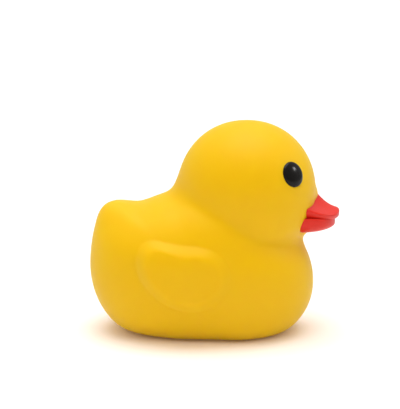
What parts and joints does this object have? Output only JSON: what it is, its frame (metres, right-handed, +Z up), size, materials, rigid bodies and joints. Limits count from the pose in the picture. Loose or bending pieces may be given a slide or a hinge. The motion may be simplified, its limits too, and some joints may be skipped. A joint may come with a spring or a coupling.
{
  "type": "squishy duck toy",
  "caption": "Soft foam duck toy in one moulding, with a round head, flat painted bill, domed eyes, folded wings, short raised tail and a flat base to stand on.",
  "frame": {"origin": "on the ground, under the middle of the toy's length and width", "axes": "+X forwards out of the bill, +Y to the toy's left, +Z up"},
  "size_m": [0.1808, 0.1236, 0.1543],
  "materials": {
    "skin": "soft matte skin of slow-rising foam, saturated yellow",
    "bill_paint": "satin red paint on the foam",
    "eye_paint": "glossy black paint on the foam"
  },
  "bodies": {
    "root": {"duck": "skin"}
  },
  "joints": []
}
